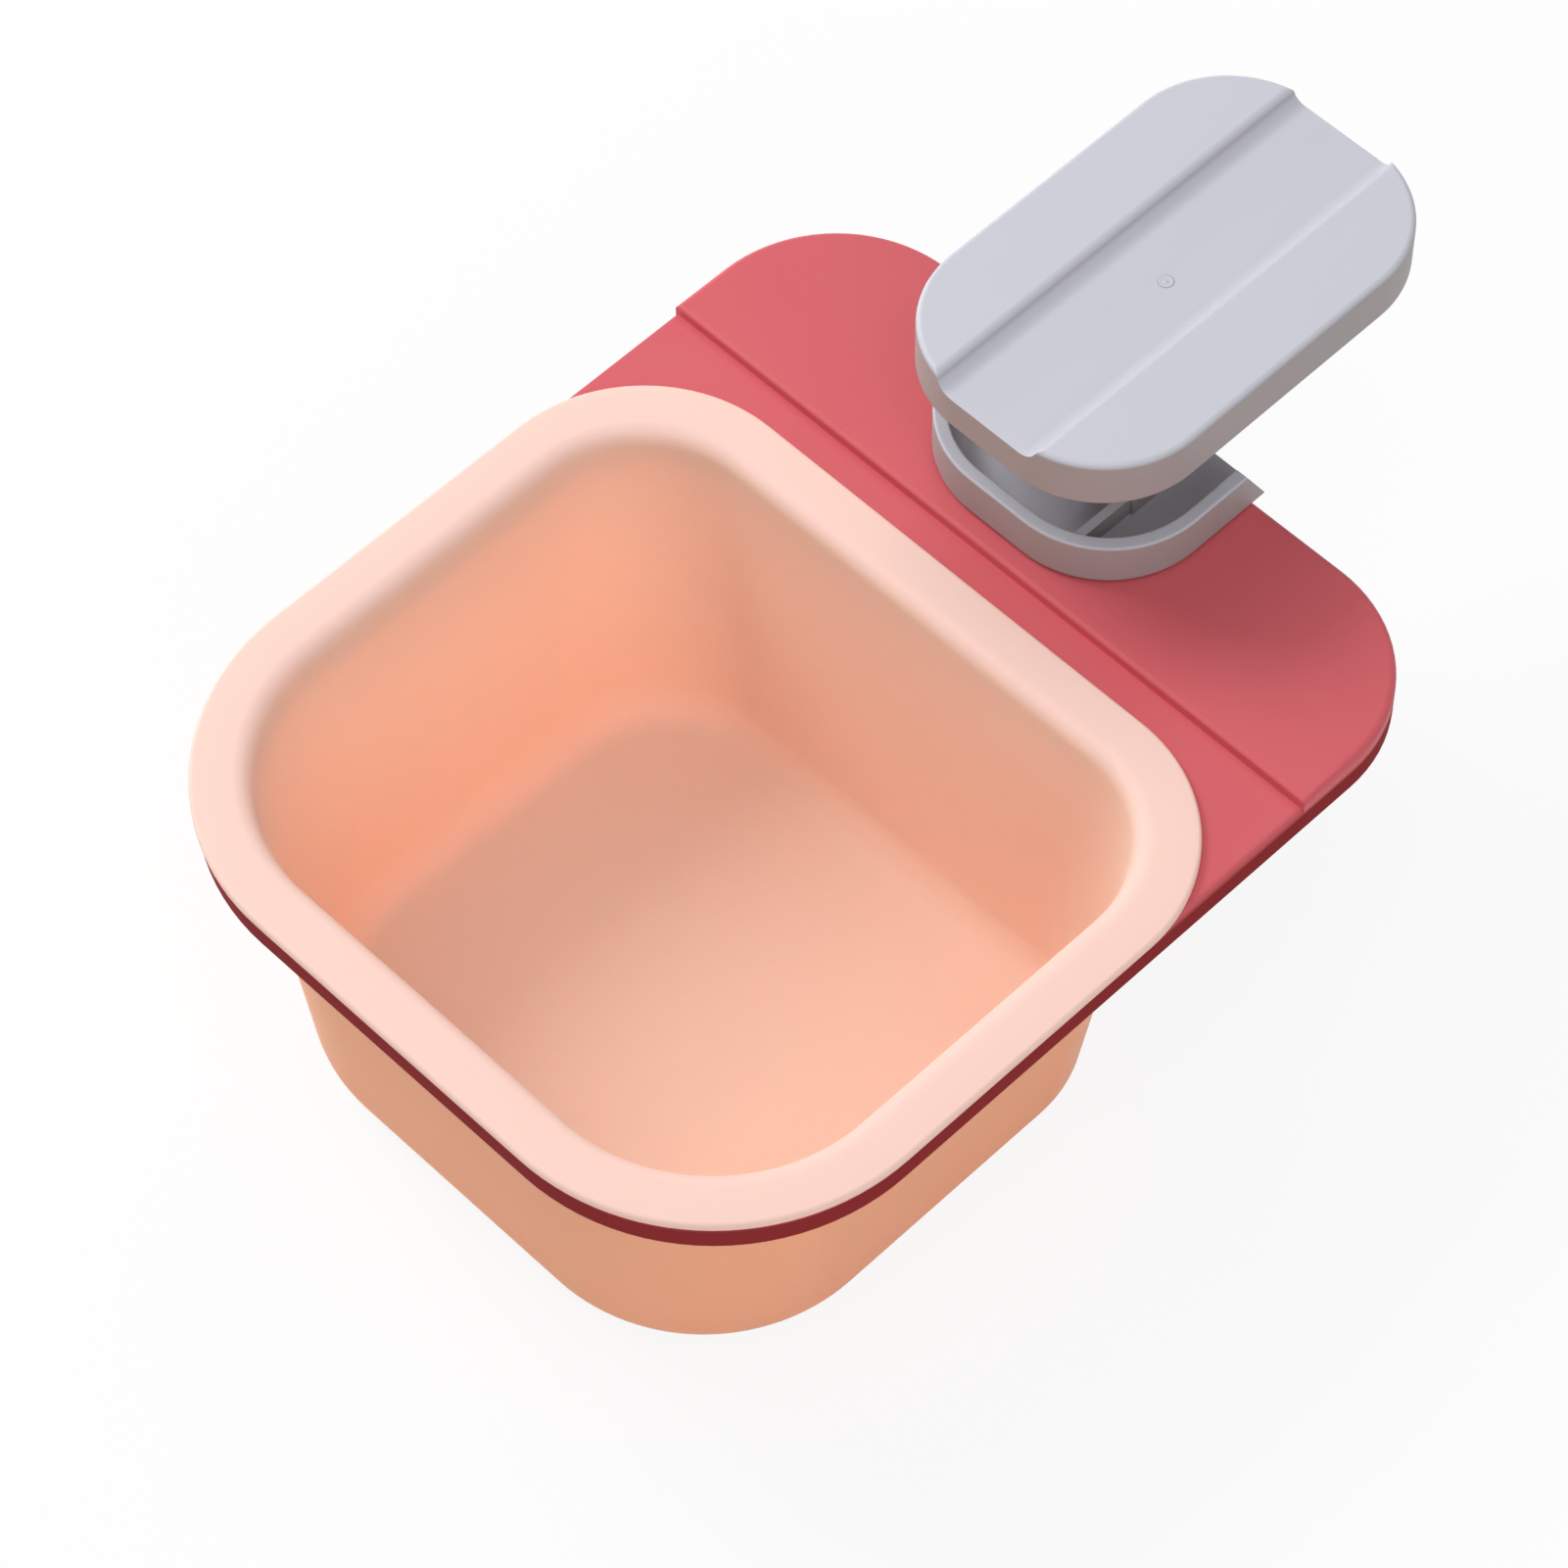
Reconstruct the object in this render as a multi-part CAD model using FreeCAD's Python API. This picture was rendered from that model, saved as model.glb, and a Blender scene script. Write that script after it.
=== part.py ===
"""Desk wastebasket: a moulded tub in a frame whose spring clip grips the edge of a desk board.

Millimetres. +Y points from the tub to the desk, +X to the right, +Z up.
The origin is the middle of the lower grip pad's top face, where the board rests.
"""
import FreeCAD, Part
import math
import os

V = FreeCAD.Vector

# Tub
rim_width = 140.0
rim_depth = 122.0
rim_front_r = 40.7
rim_back_r = 28.8
rim_thickness = 1.6
rim_edge = 0.5
lip_edge = 2.0
bin_height = 66.2
bin_wall = 1.6
bin_floor = 2.2
body_inset = 8.0
body_front_r = 32.7
body_back_r = 22.5
foot_side_inset = 15.4
foot_front_inset = 11.2
foot_back_inset = 12.7
foot_fillet = 7.5
floor_edge = 4.0

# Frame
frame_inset = 0.6
frame_height = 5.6
frame_wall = 2.0
frame_plate = 2.2
frame_edge = 0.8
strip_depth = 6.3
step_height = 2.2
step_edge = 0.5
deck_depth = 37.1
deck_corner_r = 25.8
deck_rib_count = 4
deck_rib_spacing = 26.0
deck_rib_wall = 1.6
deck_rib_setback = 1.2

# Clip shells
jaw_width = 52.0
jaw_length = 82.4
jaw_corner_r = 19.3
jaw_height = 9.2
jaw_wall = 1.7
jaw_plate = 2.0
jaw_edge = 0.6
jaw_rim_edge = 0.3
jaw_overhang = 3.4
groove_top_width = 23.6
groove_floor_width = 15.4
groove_depth = 2.9
groove_top_share = 0.35
shell_width = 50.4
shell_wall = 2.5
shell_setback = 3.2
mouth_overhang = 2.4
mouth_slope = 5.3
tongue_setback = 1.0
rib_spread = 25.0
rib_wall = 1.6

# Hinge
board_thickness = 15.0
hinge_offset = 25.8
ear_r = 5.5
ear_wall = 2.6
pin_r = 2.0
pin_head_r = 3.3
pin_head_height = 1.3
pin_head_edge = 0.5
pin_tail = 0.9

# Torsion spring
wire_r = 0.8
wire_sides = 6
coil_turns = 4
coil_pitch = 2.1
leg_reach = 12.4

# Grip pads
pad_thickness = 3.6
pad_proud = 0.5
pad_offset = 41.0
pad_front_r = 3.0
pad_support_count = 3
pad_support_pitch = 11.0
tread_count = 6
tread_pitch = 5.0
tread_width = 1.4
tread_depth = 0.6

# Screws between deck and lower jaw
screw_r = 1.5
screw_head_r = 2.8
screw_head_height = 1.9
screw_head_edge = 0.8
screw_bite = 6.0
boss_wall = 1.8
front_boss_offset = 19.0
rear_boss_offset = 29.5
rear_boss_spread = 14.0

# Clearances
bin_clearance = 0.5
ear_clearance = 0.35
pin_running_clearance = 0.05
pin_press = 0.02
thread_bite = 0.2
screw_hole_clearance = 0.2
boss_bottom_clearance = 0.8
coil_clearance = 0.4
leg_clearance = 0.3
pad_clearance = 0.25

# Levels, from the grip face up and down
lower_rim_z = -pad_proud
deck_z = lower_rim_z - jaw_height
strip_z = deck_z - step_height
frame_foot_z = strip_z - frame_height
rim_z = strip_z + rim_thickness
bin_foot_z = rim_z - bin_height
upper_rim_z = board_thickness + pad_proud
upper_top_z = upper_rim_z + jaw_height
hinge_z = board_thickness / 2
lower_floor_z = deck_z + jaw_plate
upper_ceiling_z = upper_top_z - groove_depth - jaw_plate

# Places along the part, from the middle of the grip face
pad_length = jaw_length - pad_offset - tongue_setback - rib_wall - pad_clearance
jaw_front_y = -pad_offset - pad_length / 2
jaw_back_y = jaw_front_y + jaw_length
hinge_y = jaw_front_y + hinge_offset
shell_front_y = jaw_front_y + jaw_overhang
step_y = shell_front_y - shell_setback
deck_back_y = step_y + deck_depth
rim_back_y = step_y - strip_depth
rim_front_y = rim_back_y - rim_depth

# Ears: the lower pair stands outside, the upper pair runs just inside it
lower_ear_x = rib_spread / 2
upper_ear_x = lower_ear_x - ear_wall - ear_clearance
coil_r = pin_r + coil_clearance + wire_r


def corner(cx, cy, r, start, z):
    """Quarter arc about (cx, cy), counter-clockwise from the start angle in degrees."""
    points = []
    for angle in (start, start + 45, start + 90):
        a = math.radians(angle)
        points.append(V(cx + r * math.cos(a), cy + r * math.sin(a), z))
    return Part.Arc(*points).toShape()


def outline(width, front_y, back_y, front_r, back_r, z):
    """Rounded rectangle about the Y axis, with its own radii at the front and the back."""
    half = width / 2
    corners = [
        corner(half - back_r, back_y - back_r, back_r, 0, z),
        corner(back_r - half, back_y - back_r, back_r, 90, z),
        corner(front_r - half, front_y + front_r, front_r, 180, z),
        corner(half - front_r, front_y + front_r, front_r, 270, z),
    ]
    edges = []
    for here, following in zip(corners, corners[1:] + corners[:1]):
        start = here.Vertexes[-1].Point
        end = following.Vertexes[0].Point
        edges.append(here)
        if (end - start).Length > 1e-6:
            edges.append(Part.LineSegment(start, end).toShape())
    return Part.Wire(edges)


def prism(wire, top_z):
    """Solid from a level wire up, or down, to the given height."""
    return Part.Face(wire).extrude(V(0, 0, top_z - wire.BoundBox.ZMin))


def block(x0, x1, y0, y1, z0, z1):
    return Part.makeBox(x1 - x0, y1 - y0, z1 - z0, V(x0, y0, z0))


def cylinder(r, start, end):
    return Part.makeCylinder(r, (end - start).Length, start, end - start)


def level_edges(shape, z):
    """Edges that lie flat at one height."""
    return [e for e in shape.Edges if abs(e.BoundBox.ZMin - z) < 1e-4 and abs(e.BoundBox.ZMax - z) < 1e-4]


def fuse_all(shapes):
    return shapes[0].multiFuse(shapes[1:]).removeSplitter()


def rim_outline(inset, z):
    """The rim's outline, drawn in by an inset."""
    return outline(rim_width - 2 * inset, rim_front_y + inset, rim_back_y - inset,
                   rim_front_r - inset, rim_back_r - inset, z)


def jaw_outline(inset, z):
    """The upper jaw's outline, drawn in by an inset."""
    r = jaw_corner_r - inset
    return outline(jaw_width - 2 * inset, jaw_front_y + inset, jaw_back_y - inset, r, r, z)


def shell_outline(inset, z):
    """The lower shell's outline before its rear end is cut off, drawn in by an inset."""
    r = jaw_corner_r - inset
    return outline(shell_width - 2 * inset, shell_front_y + inset, jaw_back_y - inset, r, r, z)


def drafted_block(inset, top_z, foot_z):
    """The tub's body, drawn in by an inset: flat walls that narrow to the foot, with rounded corners."""
    def level(side, front, back, z):
        half = rim_width / 2 - side - inset
        front_y = rim_front_y + front + inset
        back_y = rim_back_y - back - inset
        return [V(-half, front_y, z), V(half, front_y, z), V(half, back_y, z), V(-half, back_y, z)]

    top = level(body_inset, body_inset, body_inset, top_z)
    foot = level(foot_side_inset, foot_front_inset, foot_back_inset, foot_z)
    faces = [top, foot]
    for i in range(4):
        after = (i + 1) % 4
        faces.append([top[i], top[after], foot[after], foot[i]])
    solid = Part.makeSolid(Part.makeShell([Part.Face(Part.makePolygon(f + f[:1])) for f in faces]))
    middle_y = (rim_front_y + rim_back_y) / 2
    upright = [e for e in solid.Edges if e.BoundBox.ZLength > (top_z - foot_z) / 2]
    solid = solid.makeFillet(body_front_r - inset, [e for e in upright if e.CenterOfMass.y < middle_y])
    upright = [e for e in solid.Edges if e.BoundBox.ZLength > (top_z - foot_z) / 2]
    return solid.makeFillet(body_back_r - inset, [e for e in upright if e.CenterOfMass.y > middle_y])


def waste_bin():
    """Drafted tub with a round-edged foot, a flat rim and a soft lip."""
    body = drafted_block(0, strip_z, bin_foot_z)
    body = body.makeFillet(foot_fillet, level_edges(body, bin_foot_z))
    rim = prism(rim_outline(0, strip_z), rim_z)
    rim = rim.makeChamfer(rim_edge, level_edges(rim, rim_z))
    floor_z = bin_foot_z + bin_floor
    hollow = drafted_block(bin_wall, rim_z, floor_z)
    hollow = hollow.makeChamfer(floor_edge, level_edges(hollow, floor_z))
    tub = body.fuse(rim).cut(hollow).removeSplitter()
    inside = rim_outline(body_inset, rim_z).BoundBox
    lip = [e for e in level_edges(tub, rim_z) if inside.isInside(e.BoundBox)]
    return tub.makeChamfer(lip_edge, lip)


def screw_places():
    """Screw centres: one at the front in the middle, two at the rear."""
    front_y = jaw_front_y + front_boss_offset
    rear_y = jaw_front_y + rear_boss_offset
    return [(0, front_y), (-rear_boss_spread / 2, rear_y), (rear_boss_spread / 2, rear_y)]


def holder_frame():
    """One moulding: a ring that carries the rim, and a raised deck, hollow below with ribs."""
    def frame_outline(inset, z):
        return outline(rim_width - 2 * (frame_inset + inset), rim_front_y + frame_inset + inset,
                       deck_back_y - inset, rim_front_r - frame_inset - inset, deck_corner_r - inset, z)

    far = rim_width
    above_ring = block(-far, far, rim_front_y - far, step_y, strip_z, deck_z + far)
    solid = prism(frame_outline(0, frame_foot_z), deck_z).cut(above_ring)
    step_foot = level_edges(solid, strip_z)
    ring_top = [e for e in step_foot if e.BoundBox.YMax < step_y - 1e-3 or e.BoundBox.YLength > 1e-3]
    deck_top = [e for e in level_edges(solid, deck_z) if e.BoundBox.YMax > step_y + 1e-3]
    solid = solid.makeChamfer(frame_edge, ring_top + deck_top)
    step_top = [e for e in level_edges(solid, deck_z) if e.BoundBox.YMax < step_y + 1e-3]
    solid = solid.makeChamfer(step_edge, step_top)

    opening_inset = body_inset - bin_clearance
    opening = prism(rim_outline(opening_inset, frame_foot_z), deck_z)
    collar = prism(rim_outline(opening_inset - frame_wall, frame_foot_z), deck_z)
    hollow = prism(frame_outline(frame_wall, frame_foot_z), strip_z - frame_plate)
    deck_hollow = prism(frame_outline(frame_wall, frame_foot_z), deck_z - frame_plate)
    deck_hollow = deck_hollow.common(block(-far, far, step_y + frame_wall, deck_back_y, frame_foot_z, deck_z))
    solid = solid.cut(hollow.fuse(deck_hollow).cut(collar))

    ribs = []
    for i in range(deck_rib_count):
        x = (i - (deck_rib_count - 1) / 2) * deck_rib_spacing
        ribs.append(block(x - deck_rib_wall / 2, x + deck_rib_wall / 2,
                          rim_back_y - body_inset, deck_back_y - frame_wall / 2,
                          frame_foot_z + deck_rib_setback, strip_z - frame_plate / 2))
    solid = fuse_all([solid] + ribs).cut(opening)
    for x, y in screw_places():
        solid = solid.cut(cylinder(screw_r + screw_hole_clearance, V(x, y, frame_foot_z), V(x, y, deck_z)))
    return solid


def ear(x, root_z, bore_r):
    """A hinge ear: a plate with a round end about the pin, from its root to the pin."""
    tip_z = hinge_z + math.copysign(ear_r, hinge_z - root_z)
    front_y = hinge_y - ear_r
    back_y = hinge_y + ear_r
    edge = Part.Wire([
        Part.LineSegment(V(0, back_y, root_z), V(0, back_y, hinge_z)).toShape(),
        Part.Arc(V(0, back_y, hinge_z), V(0, hinge_y, tip_z), V(0, front_y, hinge_z)).toShape(),
        Part.LineSegment(V(0, front_y, hinge_z), V(0, front_y, root_z)).toShape(),
        Part.LineSegment(V(0, front_y, root_z), V(0, back_y, root_z)).toShape(),
    ])
    plate = Part.Face(edge).extrude(V(ear_wall, 0, 0))
    plate.translate(V(x - ear_wall / 2, 0, 0))
    bore = cylinder(bore_r, V(x - ear_wall, hinge_y, hinge_z), V(x + ear_wall, hinge_y, hinge_z))
    return plate.cut(bore)


def spine_outline(inset, z):
    """Outline of the long ribs, which run from the front wall to a round end behind the pad."""
    half = (rib_spread + rib_wall) / 2 - inset
    return outline(2 * half, jaw_front_y - jaw_wall, jaw_back_y - tongue_setback - inset, jaw_wall, half, z)


def spine_ribs(root_z, rib_z, pocket_z, within):
    """The long ribs, low at the front and raised round the pad, and the cross ribs, within an outline."""
    wall = prism(spine_outline(0, root_z), pocket_z).cut(prism(spine_outline(rib_wall, root_z), pocket_z))
    pocket_y = jaw_front_y + pad_offset - pad_clearance - rib_wall
    half = (rib_spread + rib_wall) / 2
    low, high = sorted((rib_z, pocket_z))
    wall = wall.cut(block(-half, half, jaw_front_y - 2 * jaw_wall, pocket_y, low, high))
    low, high = sorted((root_z, pocket_z))
    pieces = [wall, block(-half, half, pocket_y, pocket_y + rib_wall, low, high)]
    low, high = sorted((root_z, rib_z))
    reach = half - rib_wall / 2
    for i in range(pad_support_count):
        y = (i - (pad_support_count - 1) / 2) * pad_support_pitch
        pieces.append(block(-reach, reach, y - rib_wall / 2, y + rib_wall / 2, low, high))
    return fuse_all(pieces).common(prism(within(jaw_wall / 2, root_z), pocket_z))


def clip_lower_jaw():
    """Shell screwed to the deck, open behind, whose ribs run on as a tongue, with the outer hinge ears."""
    shell = prism(shell_outline(0, deck_z), lower_rim_z)
    shell = shell.cut(prism(shell_outline(shell_wall, lower_floor_z), lower_rim_z))
    shell = shell.makeChamfer(jaw_rim_edge, level_edges(shell, lower_rim_z))
    front_y = shell_front_y - jaw_wall
    mouth_y = deck_back_y + mouth_overhang
    kept = [V(-jaw_width, front_y, deck_z), V(-jaw_width, mouth_y, deck_z),
            V(-jaw_width, mouth_y - mouth_slope, lower_rim_z), V(-jaw_width, front_y, lower_rim_z)]
    shell = shell.common(Part.Face(Part.makePolygon(kept + kept[:1])).extrude(V(2 * jaw_width, 0, 0)))

    tongue = prism(spine_outline(0, deck_z), lower_floor_z)
    behind = block(-jaw_width, jaw_width, deck_back_y - 2 * jaw_wall, jaw_back_y, deck_z, lower_floor_z)
    root_z = lower_floor_z - jaw_plate / 2
    ribs = spine_ribs(root_z, -pad_thickness, lower_rim_z, shell_outline)
    left_front = block(-jaw_width, 0, shell_front_y, hinge_y - ear_r, root_z, lower_rim_z)
    pieces = [shell, tongue.common(behind), ribs.cut(left_front)]
    for side in (-1, 1):
        pieces.append(ear(side * lower_ear_x, root_z, pin_r - pin_press))
    boss_r = screw_r + boss_wall
    for x, y in screw_places():
        pieces.append(cylinder(boss_r, V(x, y, root_z), V(x, y, deck_z + boss_height())))
    jaw = fuse_all(pieces)
    pilot_z = deck_z + screw_bite + boss_bottom_clearance
    for x, y in screw_places():
        jaw = jaw.cut(cylinder(screw_r - thread_bite, V(x, y, deck_z), V(x, y, pilot_z)))
    return jaw


def boss_height():
    """A boss closes over the screw's tip with one wall."""
    return screw_bite + boss_bottom_clearance + boss_wall / 2


def groove_cutter():
    """Wide shallow groove along the shell: a flat floor with S-shaped sides, tighter at the top."""
    run = (groove_top_width - groove_floor_width) / 2
    turn = 2 * math.atan2(groove_depth, run)
    top_r = groove_top_share * run / math.sin(turn)
    floor_r = (1 - groove_top_share) * run / math.sin(turn)
    floor_z = upper_top_z - groove_depth
    start_y = jaw_front_y - jaw_wall
    cover_z = upper_top_z + groove_depth

    def side(sign):
        top_x = sign * groove_top_width / 2
        floor_x = sign * groove_floor_width / 2

        def on_top(a):
            return V(top_x - sign * top_r * math.sin(a), start_y, upper_top_z - top_r * (1 - math.cos(a)))

        def on_floor(a):
            return V(floor_x + sign * floor_r * math.sin(a), start_y, floor_z + floor_r * (1 - math.cos(a)))

        return [Part.LineSegment(V(top_x, start_y, cover_z), on_top(0)).toShape(),
                Part.Arc(on_top(0), on_top(turn / 2), on_top(turn)).toShape(),
                Part.Arc(on_floor(turn), on_floor(turn / 2), on_floor(0)).toShape()]

    left = side(-1)
    right = side(1)
    floor = Part.LineSegment(left[-1].Vertexes[-1].Point, right[-1].Vertexes[-1].Point).toShape()
    cover = Part.LineSegment(right[0].Vertexes[0].Point, left[0].Vertexes[0].Point).toShape()
    wire = Part.Wire(Part.__sortEdges__(left + right + [floor, cover]))
    return Part.Face(wire).extrude(V(0, jaw_length + 2 * jaw_wall, 0))


def clip_upper_jaw():
    """Grooved shell, open below, with ribs and the inner pair of hinge ears."""
    shell = prism(jaw_outline(0, upper_rim_z), upper_top_z)
    shell = shell.makeChamfer(jaw_edge, level_edges(shell, upper_top_z))
    shell = shell.cut(groove_cutter())
    hollow = prism(jaw_outline(jaw_wall, upper_rim_z), upper_top_z - jaw_plate)
    half = (rib_spread + rib_wall) / 2
    under_groove = block(-half, half, jaw_front_y, jaw_back_y, upper_ceiling_z, upper_top_z)
    shell = shell.cut(hollow.cut(under_groove))
    root_z = upper_ceiling_z + jaw_plate / 2
    pieces = [shell, spine_ribs(root_z, board_thickness + pad_thickness, upper_rim_z, jaw_outline)]
    for side in (-1, 1):
        pieces.append(ear(side * upper_ear_x, root_z, pin_r + pin_running_clearance))
    return fuse_all(pieces)


def hinge_pin():
    """Headed steel pin, pressed into the lower ears."""
    outer = lower_ear_x + ear_wall / 2
    head_start = V(outer, hinge_y, hinge_z)
    shank = cylinder(pin_r, V(-outer - pin_tail, hinge_y, hinge_z), head_start)
    head = cylinder(pin_head_r, head_start, head_start + V(pin_head_height, 0, 0))
    outer_rim = [e for e in head.Edges if e.BoundBox.XMin > outer + pin_head_height / 2]
    head = head.makeChamfer(pin_head_edge, outer_rim)
    return fuse_all([shank, head])


def biarc(p0, t0, p1, t1):
    """Two arcs that leave p0 along t0, meet smoothly and reach p1 along t1."""
    v = p1 - p0
    t = t0 + t1
    a = 2 * (1 - t0.dot(t1))
    b = v.dot(t)
    d = (-b + math.sqrt(b * b + a * v.dot(v))) / a
    q0 = p0 + t0 * d
    q1 = p1 - t1 * d
    joint = (q0 + q1) / 2
    tangent = (q1 - q0).normalize()

    def arc(start, direction, end):
        chord = end - start
        along = V(chord).normalize()
        half = direction.getAngle(along)
        inward = (along * direction.dot(along) - direction)
        inward = (inward - along * inward.dot(along)).normalize()
        middle = start + chord / 2 - inward * (chord.Length / 2 * math.tan(half / 2))
        return Part.Arc(start, middle, end).toShape()

    return [arc(p0, t0, joint), arc(joint, tangent, p1)]


def clip_spring():
    """Torsion spring: one wire, from a leg on the lower floor round the pin to a leg under the upper jaw."""
    def lean(height):
        """Slope of a leg that touches the coil's rear side and ends this far from the pin's level."""
        return math.atan2(height, leg_reach) - math.asin(coil_r / math.hypot(height, leg_reach))

    drop = hinge_z - lower_floor_z - wire_r - leg_clearance
    climb = upper_ceiling_z - hinge_z - wire_r - leg_clearance
    first = lean(drop) - math.pi / 2
    last = math.pi / 2 - lean(climb) + 2 * math.pi * coil_turns
    rise = coil_pitch / (2 * math.pi)
    start_x = rise * (last - first) / 2

    def on_coil(a):
        return V(rise * (a - first) - start_x, hinge_y + coil_r * math.cos(a), hinge_z + coil_r * math.sin(a))

    def along_coil(a):
        return V(rise, -coil_r * math.sin(a), coil_r * math.cos(a)).normalize()

    def leg_length(height):
        return math.sqrt(height * height + leg_reach * leg_reach - coil_r * coil_r)

    low_tip = on_coil(first) - along_coil(first) * leg_length(drop)
    high_tip = on_coil(last) + along_coil(last) * leg_length(climb)
    edges = [Part.LineSegment(low_tip, on_coil(first)).toShape()]
    steps = max(4, round((last - first) / (math.pi / 2)))
    for i in range(steps):
        a0 = first + (last - first) * i / steps
        a1 = first + (last - first) * (i + 1) / steps
        edges += biarc(on_coil(a0), along_coil(a0), on_coil(a1), along_coil(a1))
    edges.append(Part.LineSegment(on_coil(last), high_tip).toShape())
    path = Part.Wire(edges)
    across = along_coil(first).cross(V(1, 0, 0)).normalize()
    section = []
    for i in range(wire_sides + 1):
        spoke = FreeCAD.Rotation(along_coil(first), 360 * i / wire_sides).multVec(across * wire_r)
        section.append(low_tip + spoke)
    spring = Part.BRepOffsetAPI.MakePipeShell(path)
    spring.add(Part.makePolygon(section))
    spring.build()
    spring.makeSolid()
    wire = spring.shape()

    points = path.discretize(Number=40 * steps)
    apart = int(len(points) * math.pi * coil_r / path.Length)
    gaps = [(q - p).Length for i, p in enumerate(points) for q in points[i + apart:]]
    print("spring: least gap to itself %.2f mm" % (min(gaps) - 2 * wire_r))
    return wire


def grip_pad(face_z, back_z):
    """Rubber pad between a grip face and its back, with treads across the grip face."""
    y0 = jaw_front_y + pad_offset
    half = (rib_spread - rib_wall) / 2 - pad_clearance
    pad = prism(outline(2 * half, y0, y0 + pad_length, pad_front_r, half, back_z), face_z)
    into = math.copysign(tread_depth, back_z - face_z)
    low, high = sorted((face_z + into, face_z - into))
    for i in range(tread_count):
        y = (i - (tread_count - 1) / 2) * tread_pitch
        pad = pad.cut(block(-half, half, y - tread_width / 2, y + tread_width / 2, low, high))
    return pad


def clip_screws():
    """Pan-head screws, driven up through the deck's plate into the jaw's bosses."""
    seat_z = deck_z - frame_plate
    screws = []
    for x, y in screw_places():
        shank = cylinder(screw_r, V(x, y, seat_z), V(x, y, deck_z + screw_bite))
        head = cylinder(screw_head_r, V(x, y, seat_z - screw_head_height), V(x, y, seat_z))
        head = head.makeChamfer(screw_head_edge, level_edges(head, seat_z - screw_head_height))
        screws.append(fuse_all([shank, head]))
    return Part.makeCompound(screws)


os.makedirs("parts", exist_ok=True)
nodes = {
    "waste_bin": waste_bin(),
    "holder_frame": holder_frame(),
    "clip_lower_jaw": clip_lower_jaw(),
    "clip_upper_jaw": clip_upper_jaw(),
    "hinge_pin": hinge_pin(),
    "clip_spring": clip_spring(),
    "lower_jaw_pad": grip_pad(0, -pad_thickness),
    "upper_jaw_pad": grip_pad(board_thickness, board_thickness + pad_thickness),
    "clip_screws": clip_screws(),
}
for name, shape in nodes.items():
    shape.exportStep(os.path.join("parts", name + ".step"))
    made = (name, len(shape.Solids), shape.Volume, shape.isValid())
    print("%-16s solids %d  volume %.1f mm3  valid %s" % made)
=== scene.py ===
"""Desk wastebasket: a peach tub in a coral frame, with a grey spring clip for the edge of a desk board.

Metres, in the frame of the CAD model: +Y points to the desk, +Z up, and the origin is where the board rests.
"""
import math

import bmesh
import bpy
from mathutils import Matrix, Vector


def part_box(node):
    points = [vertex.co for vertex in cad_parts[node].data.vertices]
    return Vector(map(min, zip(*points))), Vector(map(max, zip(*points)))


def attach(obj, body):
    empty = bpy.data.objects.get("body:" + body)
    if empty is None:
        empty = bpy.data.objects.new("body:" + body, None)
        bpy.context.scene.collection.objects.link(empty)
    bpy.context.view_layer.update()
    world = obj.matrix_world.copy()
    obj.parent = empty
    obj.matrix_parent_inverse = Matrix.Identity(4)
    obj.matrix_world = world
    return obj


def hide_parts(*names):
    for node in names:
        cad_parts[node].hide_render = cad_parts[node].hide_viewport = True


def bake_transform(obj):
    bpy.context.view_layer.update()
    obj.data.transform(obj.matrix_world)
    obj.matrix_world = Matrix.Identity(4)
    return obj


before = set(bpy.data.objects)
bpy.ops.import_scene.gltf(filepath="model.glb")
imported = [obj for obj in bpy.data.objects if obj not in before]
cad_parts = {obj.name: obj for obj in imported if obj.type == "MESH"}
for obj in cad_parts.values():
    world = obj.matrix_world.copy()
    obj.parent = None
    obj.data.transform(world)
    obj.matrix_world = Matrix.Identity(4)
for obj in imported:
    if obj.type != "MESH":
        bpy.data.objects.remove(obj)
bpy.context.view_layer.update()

# Holder frame: one injection-moulded polypropylene piece, a ring that carries the tub's rim and a raised
# deck for the clip. The copy of the solid is welded, and its top and foot edges are rounded.
MM = 0.001
frame_coral = "d6656c"
frame_coral_flow = "d25f66"
# A darker coral for the sides and undersides: painted shade.
frame_coral_painted_shade = "8c2427"
dull_roughness = 0.9
weld_distance = 0.002 * MM
level_margin = 0.02 * MM
flat_angle = math.radians(0.5)
edge_angle = math.radians(20)
crease_angle = math.radians(32)
rounding_segments = 3
# Levels below the deck's top and their roundings, in mm: the deck's and the step's edge, the chamfers of
# both, the ring's edge and its chamfer, and the foot of the skirt.
frame_roundings = [(0, 0.45), (0.5, 0.2), (0.8, 0.45), (2.2, 0.45), (3.0, 0.45), (7.8, 0.3)]


def linear(hex_colour):
    """An sRGB hex colour as linear RGBA."""
    parts = [int(hex_colour[i:i + 2], 16) / 255 for i in (0, 2, 4)]
    return [c / 12.92 if c <= 0.04045 else ((c + 0.055) / 1.055) ** 2.4 for c in parts] + [1.0]


def add(tree, kind, inputs=None, **settings):
    """A new node: settings are its properties, inputs its socket values or the sockets that feed them."""
    made = tree.nodes.new(kind)
    for key, value in settings.items():
        setattr(made, key, value)
    for key, value in (inputs or {}).items():
        if isinstance(value, bpy.types.NodeSocket):
            tree.links.new(value, made.inputs[key])
        else:
            made.inputs[key].default_value = value
    return made


def new_material(name):
    """An empty node material with its output, ready for a shader."""
    material = bpy.data.materials.new(name)
    material.use_nodes = True
    material.node_tree.nodes.clear()
    output = add(material.node_tree, "ShaderNodeOutputMaterial")
    return material, material.node_tree, output


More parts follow.
